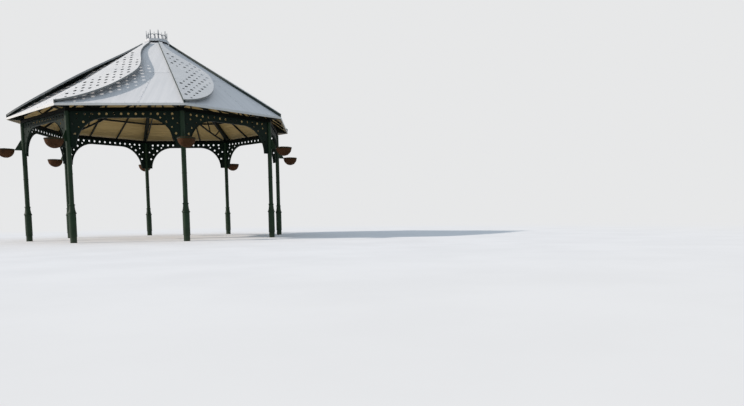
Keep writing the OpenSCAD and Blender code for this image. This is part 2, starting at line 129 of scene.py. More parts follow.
# %% Sockets as numbers
class Wire:
    """One output socket of a material, which can be used in sums."""

    def __init__(self, tree, socket):
        self.tree = tree
        self.socket = socket

    def node(self, kind, settings=None, out=0, **values):
        """A new node: settings first, then the values or wires of its sockets, named or i0, i1."""
        made = self.tree.nodes.new(kind)
        for name, value in (settings or {}).items():
            setattr(made, name, value)
        for name, value in values.items():
            key = int(name[1:]) if name[1:].isdigit() else name.replace("_", " ")
            if isinstance(value, Wire):
                self.tree.links.new(value.socket, made.inputs[key])
            else:
                made.inputs[key].default_value = value
        if isinstance(out, tuple):
            return [Wire(self.tree, made.outputs[name]) for name in out]
        return Wire(self.tree, made.outputs[out])

    def sum(self, operation, *terms):
        """A Math node over wires or plain numbers."""
        sockets = {f"i{k}": term for k, term in enumerate(terms)}
        return self.node("ShaderNodeMath", {"operation": operation}, **sockets)

    def __add__(self, other):
        return self.sum("ADD", self, other)

    def __radd__(self, other):
        return self.sum("ADD", other, self)

    def __sub__(self, other):
        return self.sum("SUBTRACT", self, other)

    def __rsub__(self, other):
        return self.sum("SUBTRACT", other, self)

    def __mul__(self, other):
        return self.sum("MULTIPLY", self, other)

    def __rmul__(self, other):
        return self.sum("MULTIPLY", other, self)

    def __truediv__(self, other):
        return self.sum("DIVIDE", self, other)

    def __pow__(self, other):
        return self.sum("POWER", self, other)

    def band(self, low, high):
        """0 below low, 1 above high, and smooth between."""
        return self.node("ShaderNodeMapRange", {"interpolation_type": "SMOOTHSTEP"}, Value=self,
                         From_Min=low, From_Max=high)

    def parts(self):
        """The three distances of a place."""
        return self.node("ShaderNodeSeparateXYZ", None, ("X", "Y", "Z"), i0=self)

    def joined(self, x, y, z):
        """A place from three distances."""
        return self.node("ShaderNodeCombineXYZ", X=x, Y=y, Z=z)

    def scaled(self, x, y, z):
        """This place with each of its three distances multiplied."""
        return self.node("ShaderNodeMapping", Vector=self, Scale=(x, y, z))

    def noise(self, scale, detail=3.0, rough=0.55):
        """Soft blotchy values round 0.5 over this place."""
        return self.node("ShaderNodeTexNoise", None, "Fac", Vector=self, Scale=scale, Detail=detail,
                         Roughness=rough)

    def dice(self):
        """One random value for each whole number of this wire."""
        return self.node("ShaderNodeTexWhiteNoise", {"noise_dimensions": "1D"}, "Value", W=self)

    def tint(self, first, second):
        """The first colour where this is 0 and the second where it is 1."""
        # A Mix node names its number and colour sockets alike, so the colours go by their place.
        return self.node("ShaderNodeMix", {"data_type": "RGBA"}, 2, i0=self, i6=first, i7=second)


def colour(r, g, b):
    """A colour as a socket takes it, with its fourth number."""
    return (r, g, b, 1.0)


# %% [markdown]
# ## Starting and finishing a material
# Each finish starts from the object's own coordinates, which are the same for all pieces because
# every mesh lies at its real place. It ends in one Principled shader. Values that never change are
# set on the shader itself.

# %% Material helpers
MATERIALS = {}


def start_finish(name):
    """A new material without nodes, and the wire of its place in metres."""
    material = bpy.data.materials.new(name)
    material.use_nodes = True
    tree = material.node_tree
    tree.nodes.clear()
    place = Wire(tree, None).node("ShaderNodeTexCoord", None, "Object")
    MATERIALS[name] = material
    return material, place


def end_finish(material, base, rough, height, strength, distance, **fixed):
    """Ends a finish in a shader: base colour, roughness, bump, and values that stay fixed."""
    tree = material.node_tree
    shader = tree.nodes.new("ShaderNodeBsdfPrincipled")
    output = tree.nodes.new("ShaderNodeOutputMaterial")
    tree.links.new(shader.outputs["BSDF"], output.inputs["Surface"])
    tree.links.new(base.socket, shader.inputs["Base Color"])
    tree.links.new(rough.socket, shader.inputs["Roughness"])
    normal = height.node("ShaderNodeBump", None, "Normal", Height=height, Strength=strength,
                         Distance=distance)
    tree.links.new(normal.socket, shader.inputs["Normal"])
    for name, value in fixed.items():
        shader.inputs[name.replace("_", " ")].default_value = value
    print("finish", material.name, "nodes", len(tree.nodes))


def fold(place):
    """Distance out along the facet under a place, distance to its side, and the facet's number."""
    x, y, _ = place.parts()
    angle = place.sum("ARCTAN2", y, x)
    number = place.sum("ROUND", angle / TURN)
    c = place.sum("COSINE", number * TURN)
    s = place.sum("SINE", number * TURN)
    return x * c + y * s, y * c - x * s, number


# %% [markdown]
# ## Green paint on the posts and friezes
# Old park ironwork is brushed with dark green gloss, coat over coat. It keeps a soft shine, a slight
# ripple from the brush, a paler dusty bloom low on the posts and small dull patches. The friezes sit
# in the shade of the eaves: their green is painted much darker than the posts', as painted shade,
# and flatter, and it holds some cobweb dust.
# A painted picture would need every post unwrapped. Noise at three sizes gives the same wear with no
# seam, and the height alone says where the dust lies.

# %% Green paint
DUST_TOP = 0.55

material, place = start_finish("green_paint")
_, _, height = place.parts()
mottle = place.noise(3.0, detail=4.0)
brush = place.scaled(60.0, 60.0, 9.0).noise(1.0, detail=2.0)
dust = (1.0 - height.band(0.0, DUST_TOP)) * mottle.band(0.35, 0.75)
chips = place.noise(38.0, detail=2.0).band(0.70, 0.78)
green = mottle.band(0.3, 0.7).tint(colour(0.002, 0.016, 0.004), colour(0.005, 0.025, 0.008))
green = chips.tint(green, colour(0.013, 0.031, 0.018))
green = (dust * 0.45).tint(green, colour(0.070, 0.073, 0.056))
dull = 0.46 + mottle * 0.14 + dust * 0.25 + chips * 0.1
end_finish(material, green, dull, brush, strength=0.25, distance=0.0008, Specular_IOR_Level=0.27)

material, place = start_finish("frieze_green_with_painted_shade")
mottle = place.noise(2.4, detail=4.0)
web = place.noise(21.0).band(0.60, 0.74)
# The friezes' dark green is partly painted shade for the shadow under the eaves; the web is cobweb
# dust.
green = mottle.band(0.3, 0.7).tint(colour(0.001, 0.007, 0.004), colour(0.003, 0.012, 0.007))
green = (web * 0.3).tint(green, colour(0.020, 0.028, 0.022))
end_finish(material, green, 0.45 + mottle * 0.2, place.noise(60.0, detail=2.0), strength=0.2,
           distance=0.0008, Specular_IOR_Level=0.12)

# %% [markdown]
# ## Near-black beam and roof framing
# The beam and rafters are painted darker than the posts and are hardly ever washed by rain, so
# their paint is flatter and greyer, with streaks of dirt on the beam and cobweb dust on the rafters.
# Both come from noise, so that nothing has to be unwrapped or painted by hand. The beam is almost
# black: partly its dark paint and partly painted shade for the deep shadow under the eaves.

# %% Dark paints
material, place = start_finish("dark_green_beam")
mottle = place.noise(2.2, detail=5.0)
streak = place.scaled(7.0, 7.0, 0.6).noise(1.0)
dirt = (mottle * 0.6 + streak * 0.4).band(0.35, 0.7)
# Near-black: dark paint plus painted shade for the shadow under the eaves; the streaks are dirt.
dark = dirt.tint(colour(0.001, 0.002, 0.001), colour(0.003, 0.004, 0.003))
end_finish(material, dark, 0.45 + mottle * 0.2, place.noise(55.0), strength=0.2, distance=0.0008,
           Specular_IOR_Level=0.07)

material, place = start_finish("dark_rafter")
mottle = place.noise(4.0, detail=5.0)
web = place.noise(19.0).band(0.58, 0.72)
dark = mottle.band(0.35, 0.7).tint(colour(0.006, 0.009, 0.007), colour(0.013, 0.016, 0.012))
dark = (web * 0.35).tint(dark, colour(0.055, 0.055, 0.045))
end_finish(material, dark, 0.5 + mottle * 0.2, place.noise(70.0), strength=0.25, distance=0.0008,
           Specular_IOR_Level=0.18)

# %% [markdown]
# ## Roof sheets
# The sheets are coated steel in a pale satin grey. Rain has drawn long faint streaks down the
# slope, each sheet weathers in its own tone, and a little dirt runs out from under the lap. The fold
# turns the eight facets into one, so a streak is simply noise that is stretched along the slope.

# %% Roof sheets
LAP_OUT = 2.083
LAP_BLUR = 0.004
JOINT_SIDE = 0.40
JOINT_BLUR = 0.002
RUN_LONG = 0.35

material, place = start_finish("roof_sheet")
out, side, number = fold(place)
mottle = place.noise(0.9, detail=4.0)
streak = place.joined(side * 11.0, out * 0.45, number * 5.0).noise(1.0, detail=4.0, rough=0.6)
fine = place.joined(side * 46.0, out * 1.3, number * 9.0).noise(1.0)
upper = 1.0 - out.band(LAP_OUT - LAP_BLUR, LAP_OUT + LAP_BLUR)
right = side.band(JOINT_SIDE - JOINT_BLUR, JOINT_SIDE + JOINT_BLUR) * (1.0 - upper)
sheet_tone = (number * 3.0 + upper * 17.0 + right * 29.0).dice()
run = (1.0 - (out - LAP_OUT).band(0.0, RUN_LONG)) * (1.0 - upper)
tone = 0.55 * streak + 0.2 * fine + 0.25 * mottle
grey = tone.band(0.34, 0.66).tint(colour(0.597, 0.610, 0.626), colour(0.682, 0.687, 0.697))
grey = (sheet_tone * 0.10).tint(grey, colour(0.54, 0.56, 0.58))
grey = (run * streak.band(0.45, 0.75) * 0.25).tint(grey, colour(0.40, 0.41, 0.41))
rough = 0.42 + streak * 0.22
end_finish(material, grey, rough, streak * 0.6 + fine * 0.4, strength=0.12, distance=0.003,
           Specular_IOR_Level=0.35)

# %% [markdown]
# ## Wings, trim, flashings and crown
# The wings, the eaves trim and the drum are brighter than the roof. The flashings under the wings
# are dark green, and the cresting is a deep cool grey. All have the same kind of washed-down dirt
# and differ only in colour and grain, so one recipe serves them all. The edges and the underside of
# a wing are painted darker, as painted shade, and the way a face points tells them from the top.

# %% Washed metals
PAINTED_SHADE_FACES_UP = (0.62, 0.74)


def washed(name, dark, light, stain, amount, grain=1.0, edge=None, **fixed):
    """A coated metal with soft blotches and run-down dirt. Steep and downward faces may take a darker
    colour as painted shade.
    """
    material, place = start_finish(name)
    mottle = place.noise(1.7 * grain, detail=4.0)
    streak = place.scaled(9.0 * grain, 9.0 * grain, 0.8 * grain).noise(1.0, detail=4.0)
    spots = place.noise(31.0 * grain).band(0.60, 0.72)
    tone = (mottle * 0.6 + streak * 0.4).band(0.34, 0.66).tint(colour(*dark), colour(*light))
    dirt = (streak.band(0.5, 0.72) * 0.6 + spots * 0.4) * amount
    tone = dirt.tint(tone, colour(*stain))
    # Steep and downward faces take the given colour: painted shade on a wing's edges and underside.
    if edge:
        _, _, up = place.node("ShaderNodeNewGeometry", None, "True Normal").parts()
        tone = up.band(*PAINTED_SHADE_FACES_UP).tint(colour(*edge), tone)
    end_finish(material, tone, 0.40 + streak * 0.22, mottle * 0.5 + streak * 0.5, strength=0.15,
               distance=0.002, **fixed)


# The wing's darker edge colour is painted shade for its lip and underside.
washed("roof_wing", (0.625, 0.632, 0.636), (0.705, 0.703, 0.698), (0.42, 0.43, 0.42), 0.30,
       edge=(0.26, 0.27, 0.27), Specular_IOR_Level=0.35)
washed("white_trim", (0.66, 0.66, 0.66), (0.76, 0.76, 0.75), (0.36, 0.36, 0.34), 0.35,
       grain=1.6, Specular_IOR_Level=0.35)
washed("dark_green_flashing", (0.012, 0.026, 0.024), (0.022, 0.040, 0.036), (0.06, 0.07, 0.06), 0.35,
       grain=1.6, Specular_IOR_Level=0.25)
washed("drum_pale", (0.56, 0.58, 0.60), (0.67, 0.68, 0.70), (0.40, 0.42, 0.44), 0.35,
       grain=3.0, Specular_IOR_Level=0.35)
washed("crown_grey", (0.10, 0.125, 0.15), (0.16, 0.19, 0.22), (0.08, 0.09, 0.10), 0.40,
       grain=3.0, Specular_IOR_Level=0.30)
# The vent hub is near-black as painted shade: it stands in for the shadowed gap under the drum.
washed("vent_black", (0.006, 0.006, 0.008), (0.014, 0.014, 0.018), (0.03, 0.03, 0.03), 0.30,
       grain=3.0, Specular_IOR_Level=0.20)

# %% [markdown]
# ## Stained ceiling boards
# The boards run along each bay. Every board has taken the stain differently, so its tone comes from
# its number up the slope, and the grain is noise that is stretched along the board. Outside the
# beam the boards are tinted greyer.

# %% Ceiling boards
BOARD_WIDE = 0.112
GREY_FROM = (3.42, 3.54)

material, place = start_finish("ceiling_boards")
out, side, number = fold(place)
row = place.sum("FLOOR", (EAVES - out) / (BOARD_WIDE * math.cos(PITCH)))
tone = (row + number * 41.0).dice()
long_grain = place.joined(side * 1.6, out * 46.0, row * 3.7 + number * 11.0)
grain = long_grain.noise(1.0, detail=5.0, rough=0.65)
mottle = place.noise(1.4, detail=4.0)
wood = grain.band(0.30, 0.72).tint(colour(0.370, 0.253, 0.097), colour(0.535, 0.395, 0.174))
wood = (tone * 0.30).tint(wood, colour(0.60, 0.455, 0.205))
wood = (mottle.band(0.5, 0.75) * 0.35).tint(wood, colour(0.25, 0.180, 0.080))
wood = (out.band(*GREY_FROM) * 0.6).tint(wood, colour(0.42, 0.39, 0.33))
end_finish(material, wood, 0.55 + grain * 0.2, grain, strength=0.3, distance=0.0015,
           Specular_IOR_Level=0.25)

# %% [markdown]
# ## Coir, compost, wire and fixings
# The liner is a mat of brown coconut fibre: short hairs in every direction, with painted shade in the
# hollows, where the low parts of the bump are darker.
# Real hairs would be heavy for something this small, so two noises, stretched across each other,
# stand for them. The wire is dull zinc, and the roof screws are painted to match the sheets.

# %% Small finishes
material, place = start_finish("coir")
hair = place.scaled(1.0, 1.0, 2.4).noise(150.0, detail=4.0, rough=0.7)
cross = place.scaled(2.2, 2.2, 0.7).noise(110.0, detail=4.0, rough=0.7)
damp = place.noise(9.0)
# The same noise sets the bump and the colour, so the low parts are darker: painted shade in the
# hollows, on top of the fibre's tone.
fibre_tone_and_hollow_shade = (hair * 0.5 + cross * 0.5).band(0.34, 0.66)
brown = fibre_tone_and_hollow_shade.tint(colour(0.030, 0.012, 0.006), colour(0.140, 0.066, 0.030))
brown = (damp.band(0.5, 0.7) * 0.5).tint(brown, colour(0.028, 0.016, 0.010))
end_finish(material, brown, 0.85 + hair * 0.1, hair + cross, strength=0.9, distance=0.004,
           Specular_IOR_Level=0.10)

material, place = start_finish("compost")
crumb = place.noise(75.0, detail=5.0, rough=0.7)
soil = crumb.band(0.35, 0.68).tint(colour(0.012, 0.008, 0.005), colour(0.060, 0.040, 0.026))
end_finish(material, soil, 0.85 + crumb * 0.1, crumb, strength=0.9, distance=0.006,
           Specular_IOR_Level=0.10)

material, place = start_finish("painted_screw")
speck = place.noise(310.0, detail=2.0)
head = speck.band(0.3, 0.7).tint(colour(0.44, 0.45, 0.46), colour(0.56, 0.57, 0.58))
end_finish(material, head, 0.45 + speck * 0.2, speck, strength=0.1, distance=0.0005,
           Specular_IOR_Level=0.35)

material, place = start_finish("dull_zinc")
spangle = place.noise(260.0, detail=2.0)
zinc = spangle.band(0.3, 0.7).tint(colour(0.30, 0.31, 0.31), colour(0.46, 0.47, 0.47))
end_finish(material, zinc, 0.42 + spangle * 0.2, spangle, strength=0.1, distance=0.0005,
           Metallic=0.7)

# %% [markdown]
# ## Paint the imported nodes
# Each node names its material slot in the record, and the finish has the slot's name. Some nodes
# differ: the bowls are lined with coir, the drum is paler, and the friezes take the flatter, darker
# green that carries painted shade.

# %% Paint the nodes
FINISH_OF_NODE = {"planter_bowls": "coir", "crown_drum": "drum_pale"}
for k in range(SIDES):
    FINISH_OF_NODE[f"frieze_{k + 1}"] = "frieze_green_with_painted_shade"
for part in frame["record"]["subparts"]:
    node = frame["nodes"][part["node"]]
    finish = FINISH_OF_NODE.get(part["node"], part["material_slot"])
    node.data.materials.clear()
    node.data.materials.append(MATERIALS[finish])

# %% [markdown]
# ## Tools for modelling by hand
# Modelling by hand means: deselect all, add a simple shape at its size, pick faces or edges by where
# they are, and push, inset, bevel or extrude them. The first helpers do the picking. An operator
# acts on all that is selected, so each of them starts with nothing selected.


# %% Picking
def clear_selection():
    """Object mode, with nothing selected."""
    if bpy.context.object and bpy.context.object.mode != "OBJECT":
        bpy.ops.object.mode_set(mode="OBJECT")
    bpy.ops.object.select_all(action="DESELECT")


def take(obj):
    """Selects one object alone and makes it active."""
    clear_selection()
    obj.select_set(True)
    bpy.context.view_layer.objects.active = obj


def edit(obj, kind, action="DESELECT"):
    """Edit mode for VERT, EDGE or FACE, with nothing selected, or with all by action SELECT."""
    take(obj)
    bpy.ops.object.mode_set(mode="EDIT")
    bpy.ops.mesh.select_mode(type=kind)
    bpy.ops.mesh.select_all(action=action)


def pick(obj, kind, test):
    """Selects the vertices, edges or faces whose middle passes the test."""
    edit(obj, kind)
    mesh = bmesh.from_edit_mesh(obj.data)
    items = {"VERT": mesh.verts, "EDGE": mesh.edges, "FACE": mesh.faces}[kind]
    for item in items:
        if kind == "VERT":
            middle = item.co
        elif kind == "EDGE":
            middle = (item.verts[0].co + item.verts[1].co) / 2
        else:
            middle = item.calc_center_median()
        if test(middle, item):
            item.select_set(True)
    mesh.select_flush_mode()
    bmesh.update_edit_mesh(obj.data)


# %% [markdown]
# The next helpers shape what is picked. A finished piece keeps its place in its mesh, with its
# object at the origin, so that the patterns on it stay where they belong.


# %% Shaping
def settle(obj):
    """Puts the object's place and turn into its mesh."""
    take(obj)
    bpy.ops.object.transform_apply(location=True, rotation=True, scale=True)


def draw_up(high, wider):
    """Extrudes what is picked straight up and makes its new end wider or narrower."""
    bpy.ops.mesh.extrude_region_move(TRANSFORM_OT_translate={"value": (0, 0, high)})
    bpy.ops.transform.resize(value=(wider, wider, 1))


def face_outwards():
    """Turns every face of the piece in edit mode outwards and leaves edit mode."""
    bpy.ops.mesh.select_all(action="SELECT")
    bpy.ops.mesh.normals_make_consistent(inside=False)
    bpy.ops.object.mode_set(mode="OBJECT")


def soften_edges(offset):
    """Rounds the picked edges a little and leaves edit mode."""
    bpy.ops.mesh.bevel(offset=offset, segments=2)
    bpy.ops.object.mode_set(mode="OBJECT")


def modify(obj, name, kind, **settings):
    """Adds a modifier with its settings and applies it."""
    take(obj)
    added = obj.modifiers.new(name, kind)
    for setting, value in settings.items():
        setattr(added, setting, value)
    bpy.ops.object.modifier_apply(modifier=name)


# %% [markdown]
# What repeats on the bandstand is modelled once, for the front, and copied. Each copy has a mesh of
# its own, keeps its finish and rides on the body.


# %% Names and copies
def named(name, finish):
    """Names the new active object and gives it its finish."""
    obj = bpy.context.object
    obj.name = name
    obj.data.name = name
    obj.data.materials.clear()
    obj.data.materials.append(MATERIALS[finish])
    return obj


def copied(obj, name, matrix):
    """A copy of a piece with its own mesh, moved by a matrix that goes into the mesh."""
    other = obj.copy()
    other.data = obj.data.copy()
    other.name = name
    other.data.name = name
    bpy.context.scene.collection.objects.link(other)
    other.data.transform(matrix)
    other.data.update()
    return other


def joined(pieces, name):
    """Several pieces made one."""
    clear_selection()
    for piece in pieces:
        piece.select_set(True)
    bpy.context.view_layer.objects.active = pieces[0]
    bpy.ops.object.join()
    pieces[0].name = name
    pieces[0].data.name = name
    return pieces[0]


def attach(obj):
    """Makes a piece ride on the body."""
    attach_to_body(obj, BODY)


def on_every_side(obj, name):
    """Seven more copies of a front piece, turned round the axis. Returns all eight."""
    all_sides = [obj]
    for k in range(1, SIDES):
        turned = Matrix.Rotation(k * TURN, 4, "Z")
        all_sides.append(copied(obj, f"{name}_{k + 1}", turned))
    obj.name = f"{name}_1"
    for piece in all_sides:
        attach(piece)
    print(name, "pieces", len(all_sides), "faces each", len(obj.data.polygons))
    return all_sides


# %% [markdown]
# ## A tapered sheet
# Roof sheets, cover strips and ceiling boards all start as the same thing: a flat four-sided sheet
# between two lines up the slope. Its corners could be typed in, but a plane of the right length,
# whose two short edges are stretched to their own widths, is quicker to check by eye. The matrix
# FRONT then lays it on the front facet.

# %% Tapered sheet
FRONT = Matrix.Translation((0, -EAVES, EAVES_Z)) @ Matrix.Rotation(PITCH, 4, "X")
NEAR = 1e-4


def tapered_sheet(name, finish, low, high, half_low, half_high, level=0.0, middle=0.0):
    """A flat sheet from low to high up the slope, with half its width at each end."""
    clear_selection()
    bpy.ops.mesh.primitive_plane_add(size=1.0, location=(middle, (low + high) / 2, level))
    obj = named(name, finish)
    obj.scale = (1.0, high - low, 1.0)
    settle(obj)
    for end, half in ((low, half_low), (high, half_high)):
        pick(obj, "VERT", lambda v, _, end=end: abs(v.y - end) < NEAR)
        bpy.ops.transform.resize(value=(2 * half, 1, 1), center_override=(middle, end, level))
    bpy.ops.object.mode_set(mode="OBJECT")
    return obj


def thicken(obj, depth):
    """Draws a flat sheet out into a plate and makes its faces point outwards."""
    edit(obj, "FACE", "SELECT")
    bpy.ops.mesh.extrude_region_move(TRANSFORM_OT_translate={"value": (0, 0, depth)})
    face_outwards()


# %% [markdown]
# ## Upper roof sheets
# Each facet is two courses of sheet. The upper course laps over the lower one, and its edge draws
# the fine level line across the roof. A dark line in the paint would do from far away, but a real
# plate, 3 mm proud, has its own shadow in any light. It starts a little inside the roof, so that no
# gap shows under it.

# %% Upper sheets
PLATE = 0.003
SUNK = 0.001
UNDER_WING = 0.014
UNDER_DRUM = 0.03
LAP_ROUND = 0.001

lap_up = slope_at(LAP_OUT)
top_up = slope_at(CROWN + UNDER_DRUM)
upper_sheet = tapered_sheet("upper_sheet", "roof_sheet", lap_up, top_up,
                            half_width(lap_up) - UNDER_WING, half_width(top_up) - UNDER_WING, -SUNK)
thicken(upper_sheet, PLATE + SUNK)
pick(upper_sheet, "EDGE", lambda m, _: abs(m.y - lap_up) < NEAR and m.z > PLATE / 2)
soften_edges(LAP_ROUND)
upper_sheet.data.transform(FRONT)
on_every_side(upper_sheet, "upper_sheet")

# %% [markdown]
# ## Cover strips
# Where two sheets of the lower course meet side by side, a narrow folded strip covers the joint and
# runs in under the lap. It is the same tapered sheet with equal ends, with its two long edges
# rounded as a fold would be.

# %% Cover strips
STRIP = 0.046
STRIP_FROM = 0.004
UNDER_LAP = 0.02
FOLD_ROUND = 0.0015

strip = tapered_sheet("cover_strip", "roof_sheet", STRIP_FROM, lap_up + UNDER_LAP, STRIP / 2,
                      STRIP / 2, -SUNK, JOINT_SIDE)
thicken(strip, PLATE + SUNK)
pick(strip, "EDGE",
     lambda m, _: m.z > PLATE / 2 and abs(abs(m.x - JOINT_SIDE) - STRIP / 2) < NEAR)
soften_edges(FOLD_ROUND)
strip.data.transform(FRONT)
on_every_side(strip, "cover_strip")

# %% [markdown]
# ## Screws
# One dome-headed screw is enough: a ring of ten points, drawn straight up once and then twice more
# with a narrower end. Half a ball would be as round, but hundreds of them would be heavy. The same
# kind of head holds the sheets, the strips and the wings, and a larger one the friezes.

# %% One screw
HEAD_POINTS = 10
HEAD_STEPS = ((0.3, 1.0), (0.4, 0.78), (0.3, 0.5))
SMOOTH_BELOW = math.radians(50)


def dome_screw(radius, high, finish):
    """A round head: each step up is a share of its height, with how much narrower it gets."""
    clear_selection()
    bpy.ops.mesh.primitive_circle_add(vertices=HEAD_POINTS, radius=radius, fill_type="NGON")
    obj = named("screw", finish)
    edit(obj, "FACE", "SELECT")
    for up, narrower in HEAD_STEPS:
        draw_up(up * high, narrower)
    face_outwards()
    take(obj)
    bpy.ops.object.shade_smooth_by_angle(angle=SMOOTH_BELOW)
    return obj


def scattered(source, matrices, name):
    """Copies of a small piece at many places, as one mesh."""
    copies = [copied(source, f"{name}_{k}", m) for k, m in enumerate(matrices)]
    return joined(copies, name)


def along(low, high, step):
    """Evenly spread distances between two ends, about a step apart."""
    count = max(1, round((high - low) / step))
    return [low + (high - low) * k / count for k in range(count + 1)]


# %% [markdown]
# A roofer fixes each sheet where it would lift: just over the lap, along the eaves, and down both
# sides of the cover strip. The eaves row starts further in at the hip where the wing begins. The
# rows are worked out on the flat facet and laid on the roof with it.

# %% Roof screws
LAP_ROW = 0.028
LAP_FROM_HIP = 0.10
EAVES_ROW = 0.045
EAVES_FROM_HIPS = (0.32, 0.12)
STRIP_ROWS = (-0.014, 0.014)
STRIP_FROM_ENDS = (0.06, 0.08)
CLEAR_OF_STRIP = 0.06

screw = dome_screw(radius=0.0085, high=0.007, finish="painted_screw")
lap_end = half_width(lap_up) - LAP_FROM_HIP
lap_row = along(-lap_end, lap_end, step=0.28)
eaves_row = along(-half_width(0) + EAVES_FROM_HIPS[0], half_width(0) - EAVES_FROM_HIPS[1], step=0.30)
strip_row = along(STRIP_FROM_ENDS[0], lap_up - STRIP_FROM_ENDS[1], step=0.29)
spots = [(x, lap_up + LAP_ROW, PLATE) for x in lap_row]
spots += [(x, EAVES_ROW, 0.0) for x in eaves_row if abs(x - JOINT_SIDE) > CLEAR_OF_STRIP]
spots += [(JOINT_SIDE + x, y, PLATE) for y in strip_row for x in STRIP_ROWS]
roof_screws = scattered(screw, [FRONT @ Matrix.Translation(p) for p in spots], "roof_screws")
on_every_side(roof_screws, "roof_screws")

# %% [markdown]
# ## Wing screws
# Each wing is screwed down on its upstand along the hip. The wing lies in a tilted plane of its own,
# so the row is set out flat, along one line, and the plane's matrix carries it to the hip.

# %% Wing screws
HIP_RISE = RISE * math.cos(HALF)
HIP_ROLL = math.asin(math.sin(PITCH) * math.sin(HALF))
WING_LIFT = 0.08
WING_TOP_LIFT = 0.061
WING_TILT = math.radians(7.3)
WING_PLATE = 0.005
DRUM_OUT = 0.042
WING_END_GAP = 0.070
WING_FROM_ENDS = (0.06, 0.05)
EAVES_R = EAVES / math.cos(HALF)
WING_END_R = CROWN_R + DRUM_OUT + WING_END_GAP
WING_SLOPE = math.atan(HIP_RISE - (WING_LIFT - WING_TOP_LIFT) / (EAVES_R - WING_END_R))
WING_LEN = (EAVES_R - WING_END_R) / math.cos(WING_SLOPE)

wing_plane = (Matrix.Rotation(-math.pi / 2 - HALF, 4, "Z")
              @ Matrix.Translation((EAVES_R, 0, EAVES_Z + WING_LIFT))
              @ Matrix.Rotation(WING_SLOPE, 4, "Y") @ Matrix.Rotation(WING_TILT - HIP_ROLL, 4, "X"))
wing_row = along(WING_FROM_ENDS[0], WING_LEN - WING_FROM_ENDS[1], step=0.25)
spots = [wing_plane @ Matrix.Translation((-s, 0, WING_PLATE)) for s in wing_row]
wing_screws = scattered(screw, spots, "wing_screws")
on_every_side(wing_screws, "wing_screws")

# %% [markdown]
# ## Grooved ceiling boards
# Under the sheets lie narrow boards with a V groove at each joint. Each board could be a piece, but
# dozens of pieces with bevelled edges look no different from one sheet with grooves. One facet of
# them is a tapered sheet, cut across three times at every joint. The middle cut is pushed up into
# the board. The sheet is laid on the facet before it gets its thickness, so that it is drawn
# straight up and its edge at the eaves stands upright.

# %% Boards
SHEET = 0.020
BOARD = 0.022
GROOVE = 0.0035
SAW = 0.00025
CLEAR = 0.0005
NARROWEST = 0.03

under = SHEET + BOARD
back = under / math.cos(PITCH) * math.sin(PITCH)
board_low = -back + CLEAR
board_top = slope_at(CROWN) - back


def board_half(up):
    """Half the width of the boarding, less a saw cut between two facets."""
    return half_width(up + back) - SAW / math.cos(HALF)


boards = tapered_sheet("boards", "ceiling_boards", board_low, board_top, board_half(board_low),
                       board_half(board_top), -under)
rows = range(1, int(board_top / BOARD_WIDE) + 1)
joint_lines = [row * BOARD_WIDE for row in rows if row * BOARD_WIDE < board_top - NARROWEST]
joint_lines = [up - back for up in joint_lines if up - back > board_low + NARROWEST]
for up in joint_lines:
    for cut in (up - GROOVE, up, up + GROOVE):
        edit(boards, "FACE", "SELECT")
        bpy.ops.mesh.bisect(plane_co=(0, cut, 0), plane_no=(0, 1, 0))
pick(boards, "VERT", lambda v, _: min(abs(v.y - up) for up in joint_lines) < NEAR)
bpy.ops.transform.translate(value=(0, 0, GROOVE))
bpy.ops.object.mode_set(mode="OBJECT")
boards.data.transform(FRONT)
thicken(boards, BOARD / math.cos(PITCH) - CLEAR)
for piece in on_every_side(boards, "boards"):
    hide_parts("ceiling_boards")
print("board joints on each facet", len(joint_lines))

# %% [markdown]
# ## Baskets
# A hanging basket is a wire cage with a mat of coir in it, filled with compost. The mat starts as a
# ball that is cut in half, because spinning an outline would give the same bowl with more work.
# Its open edge is drawn up and rolled over the hoop, a wall is added inwards, and a noise texture
# roughens the surface.

# %% Coir liner
BOWL = 0.1985
RIM = ((0.010, 1.000), (0.008, 1.012), (0.004, 1.035), (-0.003, 1.030), (-0.006, 1.006))

clear_selection()
bpy.ops.mesh.primitive_uv_sphere_add(segments=48, ring_count=24, radius=BOWL)
liner = named("liner", "coir")
edit(liner, "FACE", "SELECT")
bpy.ops.mesh.bisect(plane_co=(0, 0, 0), plane_no=(0, 0, 1), clear_outer=True)
pick(liner, "EDGE", lambda _, edge: edge.is_boundary)
for high, wider in RIM:
    draw_up(high, wider)
face_outwards()
modify(liner, "wall", "SOLIDIFY", thickness=0.009, offset=-1)
modify(liner, "finer", "SUBSURF", levels=1, render_levels=1)
lumps = bpy.data.textures.new("lumps", "CLOUDS")
lumps.noise_scale = 0.028
lumps.noise_depth = 2
modify(liner, "lumps", "DISPLACE", texture=lumps, texture_coords="LOCAL", strength=0.010,
       mid_level=0.55)
bpy.ops.object.shade_smooth()
print("liner radius", round(max(v.co.xy.length for v in liner.data.vertices), 4))

# %% [markdown]
# The compost is a level surface just inside the mat. A grid that is trimmed to a disc keeps even
# faces, which the same texture can lift into crumbs.

# %% Compost
FILLING_R = 0.1875
GRID = 28

clear_selection()
bpy.ops.mesh.primitive_grid_add(x_subdivisions=GRID, y_subdivisions=GRID, size=0.40)
compost = named("compost", "compost")
pick(compost, "VERT", lambda v, _: v.xy.length > FILLING_R)
bpy.ops.mesh.delete(type="VERT")
modify(compost, "crumbs", "DISPLACE", texture=lumps, texture_coords="LOCAL", strength=0.016,
       mid_level=0.4)
bpy.ops.object.shade_smooth()
print("compost faces", len(compost.data.polygons))

# %% [markdown]
# The cage: one rib is a small ring of points spun from the hoop almost to the bottom, where eight
# ribs would crowd into one point, and the two level rings are spun all the way round. A curve with
# a round profile would give the same wire, but a spin leaves a mesh whose steps can be counted.

# %% Wire cage
WIRE = 0.0022
WIRE_POINTS = 8
WELD = 0.0002
CAGE = 0.2020
RIB_ANGLE = math.pi / 2 * 0.97
LEVEL_ANGLES = (math.radians(34), math.radians(66))


